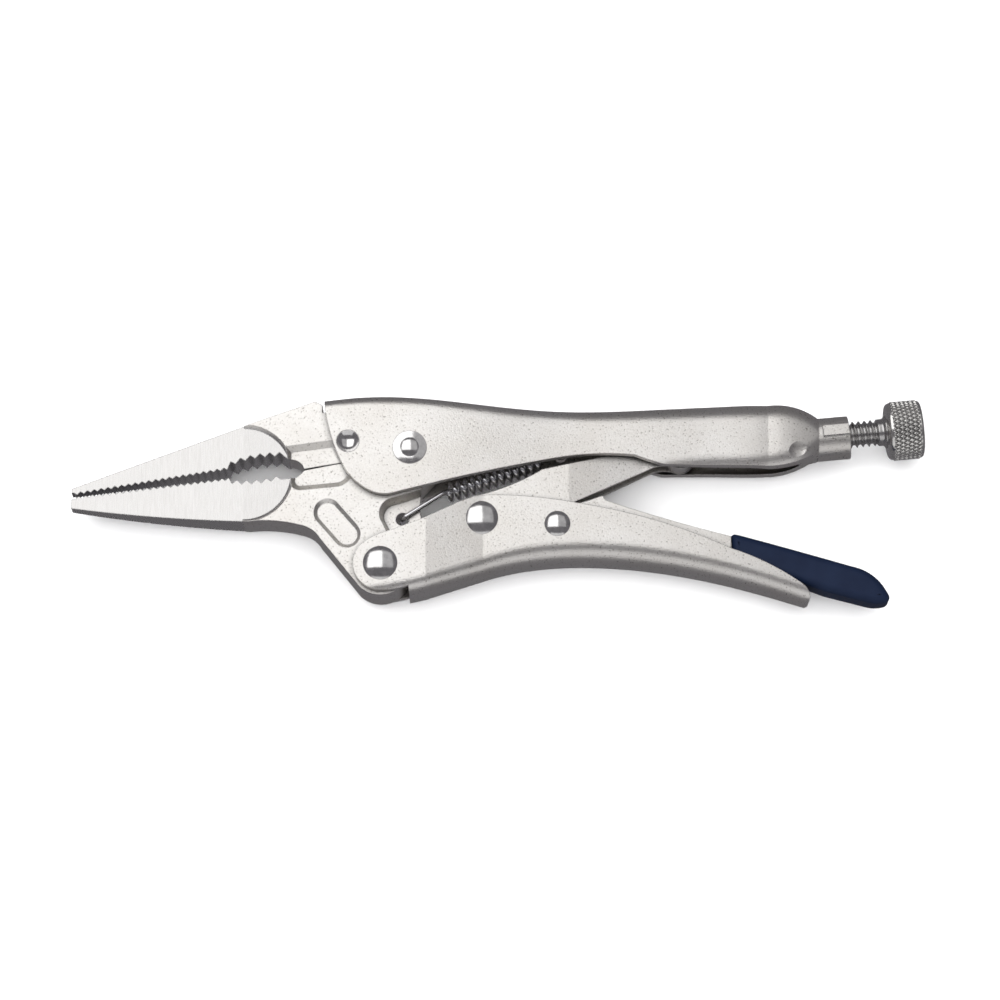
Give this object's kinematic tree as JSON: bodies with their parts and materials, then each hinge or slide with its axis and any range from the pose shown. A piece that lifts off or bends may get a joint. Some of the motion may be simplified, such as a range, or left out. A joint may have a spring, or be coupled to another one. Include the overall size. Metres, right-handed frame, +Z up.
{
  "type": "long-nose locking pliers",
  "caption": "Long-nose locking pliers with toothed tapering jaws, folded steel handles, over-centre toggle link, release lever with dipped grip and knurled adjusting screw.",
  "frame": {"origin": "centre of the whole tool's outline in X and Y, on the surface that it lies on (its lowest rivet heads)", "axes": "+X from the nose to the adjusting knob, +Y from the lower handle to the upper handle, +Z up, across the tool's thickness"},
  "size_m": [0.1504, 0.0373, 0.013],
  "materials": {
    "satin_nickel": "satin, fine blasted grain under nickel plating",
    "polished_rivet": "polished",
    "knurled_chrome": "knurled, bright",
    "thread_steel": "cut thread, satin",
    "spring_steel": "drawn wire, bright",
    "blue_vinyl": "dipped vinyl, satin"
  },
  "bodies": {
    "frame": {"upper_handle": "satin_nickel", "fixed_jaw": "satin_nickel", "fixed_jaw_rivet": "polished_rivet", "jaw_pivot_rivet": "polished_rivet"},
    "moving_jaw": {"moving_jaw": "satin_nickel", "return_spring": "spring_steel"},
    "lower_handle": {"lower_handle": "satin_nickel", "jaw_handle_rivet": "polished_rivet", "link_rivet": "polished_rivet", "lever_rivet": "polished_rivet"},
    "toggle_link": {"toggle_link": "satin_nickel"},
    "release_lever": {"release_lever": "satin_nickel", "lever_grip": "blue_vinyl"},
    "adjusting_screw": {"adjusting_screw": "thread_steel"},
    "adjusting_knob": {"adjusting_knob": "knurled_chrome"}
  },
  "joints": [
    {"name": "jaw_open", "type": "hinge", "parent": "frame", "child": "moving_jaw", "pos_m": [-0.01584, 0.00865, 0.0065], "axis": [0, 0, 1], "range_deg": [0, 18], "deforming": ["return_spring"]},
    {"name": "handle_open", "type": "hinge", "parent": "moving_jaw", "child": "lower_handle", "pos_m": [-0.02084, -0.01215, 0.0065], "axis": [0, 0, -1], "range_deg": [0, 57.3]},
    {"name": "link_swing", "type": "hinge", "parent": "lower_handle", "child": "toggle_link", "pos_m": [-0.00334, -0.00385, 0.0065], "axis": [0, 0, 1], "range_deg": [0, 62.4]},
    {"name": "lever_pull", "type": "hinge", "parent": "lower_handle", "child": "release_lever", "pos_m": [0.01001, -0.0049, 0.0065], "axis": [0, 0, 1], "range_deg": [0, 9.2]},
    {"name": "screw_travel", "type": "slide", "parent": "frame", "child": "adjusting_screw", "axis": [0.9957, 0.0924, 0], "range_m": [0, 0.012]},
    {"name": "knob_turn", "type": "hinge", "parent": "adjusting_screw", "child": "adjusting_knob", "pos_m": [0.06796, 0.01291, 0.0065], "axis": [0.9957, 0.0924, 0], "range_deg": [0, 4084]}
  ],
  "couplings": [
    {"joint": "handle_open", "follows": "jaw_open", "ratio": 3.17},
    {"joint": "link_swing", "follows": "jaw_open", "ratio": 3.458},
    {"joint": "lever_pull", "follows": "jaw_open", "ratio": 0.5},
    {"joint": "knob_turn", "follows": "screw_travel", "rad_per_m": 5938.7}
  ]
}
